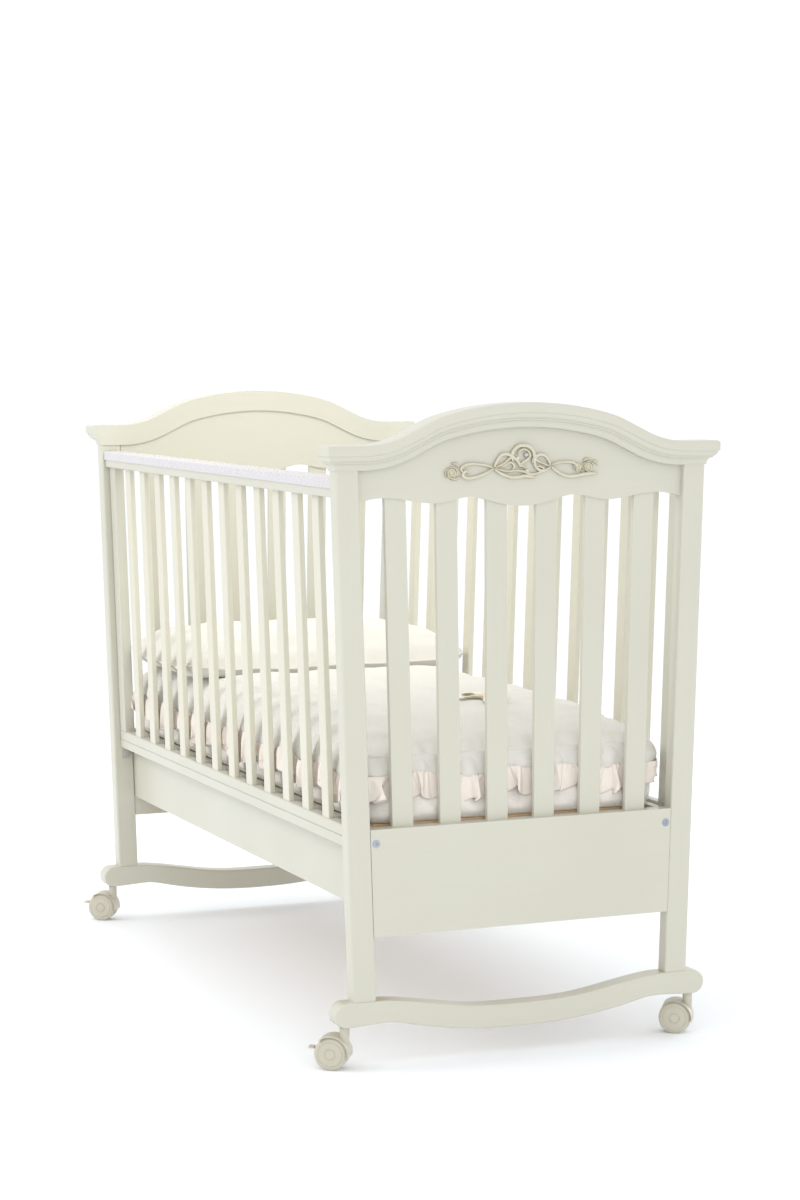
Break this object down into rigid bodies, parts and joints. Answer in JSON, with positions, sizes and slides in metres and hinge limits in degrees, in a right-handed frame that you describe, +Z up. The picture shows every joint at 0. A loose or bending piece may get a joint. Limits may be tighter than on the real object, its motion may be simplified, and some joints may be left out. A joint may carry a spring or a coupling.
{
  "type": "baby crib",
  "caption": "Cream baby crib with arched slatted ends, a drop side, curved rockers on twin-wheel casters, and bedding: mattress, ruffled quilt and pillow.",
  "frame": {"origin": "on the floor, under the middle of the crib", "axes": "+X towards the foot end with the carved ornament, -Y towards the drop side, +Z up"},
  "size_m": [1.3483, 0.7124, 1.0685],
  "materials": {
    "painted_wood": "satin",
    "painted_resin": "satin",
    "crystal": "gloss",
    "bare_beech": "matte",
    "plated_steel": "satin",
    "grey_plastic": "matte",
    "nylon": "matte",
    "teething_plastic": "gloss",
    "caster_plastic": "satin",
    "wheel_plastic": "satin",
    "mattress_cloth": "matte",
    "quilt_cloth": "matte",
    "ruffle_satin": "satin",
    "pillow_cloth": "matte",
    "bow_ribbon": "satin"
  },
  "bodies": {
    "frame": {"foot_post_front": "painted_wood", "foot_post_back": "painted_wood", "foot_top_panel": "painted_wood", "foot_moulding": "painted_wood", "foot_apron": "painted_wood", "foot_rocker": "painted_wood", "foot_slats": "painted_wood", "head_post_front": "painted_wood", "head_post_back": "painted_wood", "head_top_panel": "painted_wood", "head_moulding": "painted_wood", "head_apron": "painted_wood", "head_rocker": "painted_wood", "head_slats": "painted_wood", "ornament": "painted_resin", "ornament_crystals": "crystal", "fixed_side_top_rail": "painted_wood", "fixed_side_bottom_rail": "painted_wood", "fixed_side_stile_head": "painted_wood", "fixed_side_stile_foot": "painted_wood", "fixed_side_bars": "painted_wood", "side_board_front": "painted_wood", "side_board_back": "painted_wood", "base_cleat_front": "bare_beech", "base_cleat_back": "bare_beech", "base_rail_front": "bare_beech", "base_rail_back": "bare_beech", "base_laths": "bare_beech", "frame_bolts": "plated_steel", "barrel_nuts": "plated_steel", "dowels": "bare_beech", "guide_blocks": "grey_plastic", "mattress": "mattress_cloth", "quilt": "quilt_cloth", "pillow": "pillow_cloth"},
    "drop_side": {"drop_side_top_rail": "painted_wood", "drop_side_bottom_rail": "painted_wood", "drop_side_stile_head": "painted_wood", "drop_side_stile_foot": "painted_wood", "drop_side_bars": "painted_wood", "teething_cap": "teething_plastic", "guide_pegs": "nylon"},
    "caster_front_head": {"caster_hood_front_head": "caster_plastic", "caster_pins_front_head": "plated_steel"},
    "wheel_left_front_head": {"wheel_left_front_head": "wheel_plastic"},
    "wheel_right_front_head": {"wheel_right_front_head": "wheel_plastic"},
    "brake_lever_front_head": {"brake_lever_front_head": "caster_plastic"},
    "caster_front_foot": {"caster_hood_front_foot": "caster_plastic", "caster_pins_front_foot": "plated_steel"},
    "wheel_left_front_foot": {"wheel_left_front_foot": "wheel_plastic"},
    "wheel_right_front_foot": {"wheel_right_front_foot": "wheel_plastic"},
    "brake_lever_front_foot": {"brake_lever_front_foot": "caster_plastic"},
    "caster_back_head": {"caster_hood_back_head": "caster_plastic", "caster_pins_back_head": "plated_steel"},
    "wheel_left_back_head": {"wheel_left_back_head": "wheel_plastic"},
    "wheel_right_back_head": {"wheel_right_back_head": "wheel_plastic"},
    "caster_back_foot": {"caster_hood_back_foot": "caster_plastic", "caster_pins_back_foot": "plated_steel"},
    "wheel_left_back_foot": {"wheel_left_back_foot": "wheel_plastic"},
    "wheel_right_back_foot": {"wheel_right_back_foot": "wheel_plastic"}
  },
  "joints": [
    {"name": "drop_side_slide", "type": "slide", "parent": "frame", "child": "drop_side", "axis": [0, 0.0332, -0.9994], "range_m": [0, 0.215]},
    {"name": "caster_swivel_front_head", "type": "hinge", "parent": "frame", "child": "caster_front_head", "pos_m": [-0.6385, -0.312, 0.06], "axis": [0, 0, 1], "continuous": true},
    {"name": "wheel_left_spin_front_head", "type": "hinge", "parent": "caster_front_head", "child": "wheel_left_front_head", "pos_m": [-0.64989, -0.32844, 0.027], "axis": [-0.8221, 0.5693, 0], "continuous": true},
    {"name": "wheel_right_spin_front_head", "type": "hinge", "parent": "caster_front_head", "child": "wheel_right_front_head", "pos_m": [-0.64989, -0.32844, 0.027], "axis": [-0.8221, 0.5693, 0], "continuous": true},
    {"name": "brake_press_front_head", "type": "hinge", "parent": "caster_front_head", "child": "brake_lever_front_head", "pos_m": [-0.6607, -0.34406, 0.034], "axis": [0.8221, -0.5693, 0], "range_deg": [0, 18]},
    {"name": "caster_swivel_front_foot", "type": "hinge", "parent": "frame", "child": "caster_front_foot", "pos_m": [0.6385, -0.312, 0.06], "axis": [0, 0, 1], "continuous": true},
    {"name": "wheel_left_spin_front_foot", "type": "hinge", "parent": "caster_front_foot", "child": "wheel_left_front_foot", "pos_m": [0.62711, -0.32844, 0.027], "axis": [-0.8221, 0.5693, 0], "continuous": true},
    {"name": "wheel_right_spin_front_foot", "type": "hinge", "parent": "caster_front_foot", "child": "wheel_right_front_foot", "pos_m": [0.62711, -0.32844, 0.027], "axis": [-0.8221, 0.5693, 0], "continuous": true},
    {"name": "brake_press_front_foot", "type": "hinge", "parent": "caster_front_foot", "child": "brake_lever_front_foot", "pos_m": [0.6163, -0.34406, 0.034], "axis": [0.8221, -0.5693, 0], "range_deg": [0, 18]},
    {"name": "caster_swivel_back_head", "type": "hinge", "parent": "frame", "child": "caster_back_head", "pos_m": [-0.6385, 0.312, 0.06], "axis": [0, 0, 1], "continuous": true},
    {"name": "wheel_left_spin_back_head", "type": "hinge", "parent": "caster_back_head", "child": "wheel_left_back_head", "pos_m": [-0.64989, 0.29556, 0.027], "axis": [-0.8221, 0.5693, 0], "continuous": true},
    {"name": "wheel_right_spin_back_head", "type": "hinge", "parent": "caster_back_head", "child": "wheel_right_back_head", "pos_m": [-0.64989, 0.29556, 0.027], "axis": [-0.8221, 0.5693, 0], "continuous": true},
    {"name": "caster_swivel_back_foot", "type": "hinge", "parent": "frame", "child": "caster_back_foot", "pos_m": [0.6385, 0.312, 0.06], "axis": [0, 0, 1], "continuous": true},
    {"name": "wheel_left_spin_back_foot", "type": "hinge", "parent": "caster_back_foot", "child": "wheel_left_back_foot", "pos_m": [0.62711, 0.29556, 0.027], "axis": [-0.8221, 0.5693, 0], "continuous": true},
    {"name": "wheel_right_spin_back_foot", "type": "hinge", "parent": "caster_back_foot", "child": "wheel_right_back_foot", "pos_m": [0.62711, 0.29556, 0.027], "axis": [-0.8221, 0.5693, 0], "continuous": true}
  ]
}
